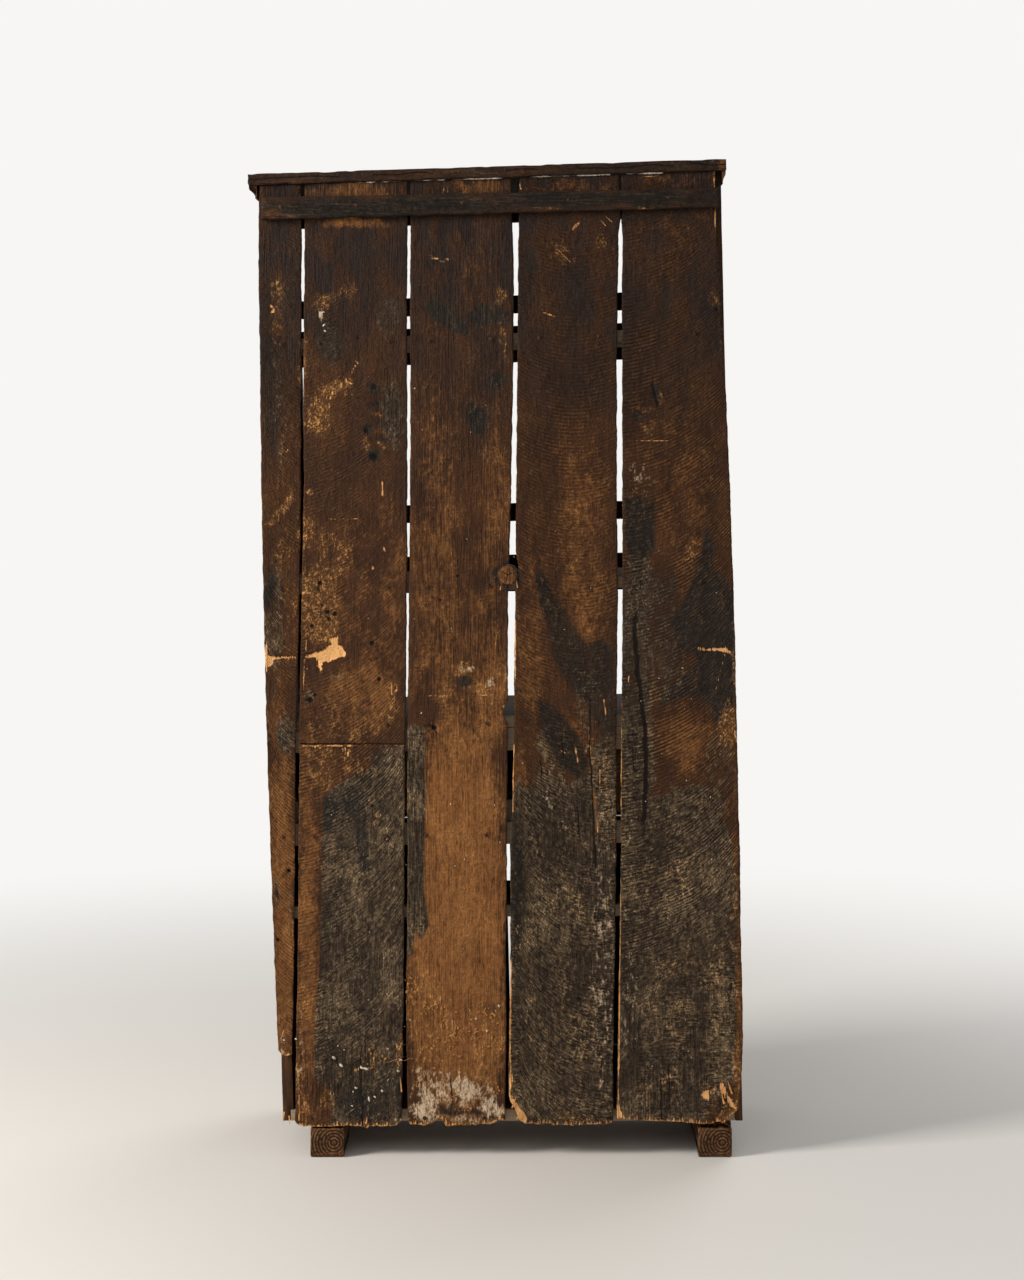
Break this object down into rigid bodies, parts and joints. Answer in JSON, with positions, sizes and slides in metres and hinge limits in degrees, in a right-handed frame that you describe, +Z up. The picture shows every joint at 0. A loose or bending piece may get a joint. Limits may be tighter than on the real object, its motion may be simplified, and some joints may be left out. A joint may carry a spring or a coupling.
{
  "type": "kitchen cupboard",
  "caption": "Tall narrow farmhouse kitchen cupboard, racked with age: open plate racks above, drawers and framed doors below, rough-sawn back boards, sledge feet.",
  "frame": {"origin": "on the ground, at the middle of the whole cupboard's box", "axes": "+Z up, -Y the front with the doors, +Y the back boards, +X to the right seen from the front"},
  "size_m": [0.8749, 0.426, 1.7622],
  "materials": {
    "sawn_back_pine": "rough sawn, dark with age",
    "case_pine": "planed, worn brown stain",
    "inside_pine": "bare, aged",
    "drawer_pine": "bare, aged",
    "foot_pine": "rough sawn",
    "knob_wood": "turned, hand-worn",
    "forged_iron": "rusted dark"
  },
  "bodies": {
    "case": {"back_batten": "sawn_back_pine", "back_board_1": "sawn_back_pine", "back_board_2_lower": "sawn_back_pine", "back_board_2_upper": "sawn_back_pine", "back_board_3": "sawn_back_pine", "back_board_4": "sawn_back_pine", "back_board_5": "sawn_back_pine", "back_nails": "forged_iron", "base_rail": "case_pine", "bottom_board": "inside_pine", "cornice_front": "case_pine", "cornice_left": "case_pine", "cornice_right": "case_pine", "drawer_divider": "case_pine", "drawer_rail": "case_pine", "drawer_runners": "inside_pine", "frame_hinge_leaves": "forged_iron", "frieze_board": "case_pine", "guard_rails": "case_pine", "lower_shelf": "inside_pine", "middle_shelf": "inside_pine", "middle_shelf_rail": "case_pine", "runner_rail": "inside_pine", "side_board_left": "case_pine", "side_board_right": "case_pine", "sledge_foot_left": "foot_pine", "sledge_foot_right": "foot_pine", "stile_left": "case_pine", "stile_right": "case_pine", "top_board": "case_pine", "top_shelf": "inside_pine", "top_shelf_rail": "case_pine", "waist_board": "case_pine", "waist_cleat": "inside_pine"},
    "left_door": {"left_door_bottom_rail": "case_pine", "left_door_hinge_leaves": "forged_iron", "left_door_hinge_stile": "case_pine", "left_door_knob": "knob_wood", "left_door_lock_stile": "case_pine", "left_door_panel": "case_pine", "left_door_top_rail": "case_pine"},
    "right_door": {"right_door_bottom_rail": "case_pine", "right_door_hinge_leaves": "forged_iron", "right_door_hinge_stile": "case_pine", "right_door_knob": "knob_wood", "right_door_lock_stile": "case_pine", "right_door_panel": "case_pine", "right_door_top_rail": "case_pine", "turn_button_screw": "forged_iron"},
    "left_drawer": {"left_drawer_back": "drawer_pine", "left_drawer_bottom": "drawer_pine", "left_drawer_front": "case_pine", "left_drawer_knob": "knob_wood", "left_drawer_sides": "drawer_pine"},
    "right_drawer": {"right_drawer_back": "drawer_pine", "right_drawer_bottom": "drawer_pine", "right_drawer_front": "case_pine", "right_drawer_knob": "knob_wood", "right_drawer_sides": "drawer_pine"},
    "turn_button": {"turn_button": "knob_wood"}
  },
  "joints": [
    {"name": "left_door_hinge", "type": "hinge", "parent": "case", "child": "left_door", "pos_m": [-0.39315, -0.1878, 0.11795], "axis": [-0.0234, 0, -0.9997], "range_deg": [0, 165]},
    {"name": "right_door_hinge", "type": "hinge", "parent": "case", "child": "right_door", "pos_m": [0.33701, -0.1878, 0.11715], "axis": [0.0264, 0, 0.9997], "range_deg": [0, 165]},
    {"name": "left_drawer_slide", "type": "slide", "parent": "case", "child": "left_drawer", "axis": [0, -1, 0], "range_m": [0, 0.25]},
    {"name": "right_drawer_slide", "type": "slide", "parent": "case", "child": "right_drawer", "axis": [0, -1, 0], "range_m": [0, 0.25]},
    {"name": "turn_button_pivot", "type": "hinge", "parent": "right_door", "child": "turn_button", "pos_m": [-0.0008, -0.1833, 0.44883], "axis": [0, 1, 0], "range_deg": [-90, 90]}
  ]
}
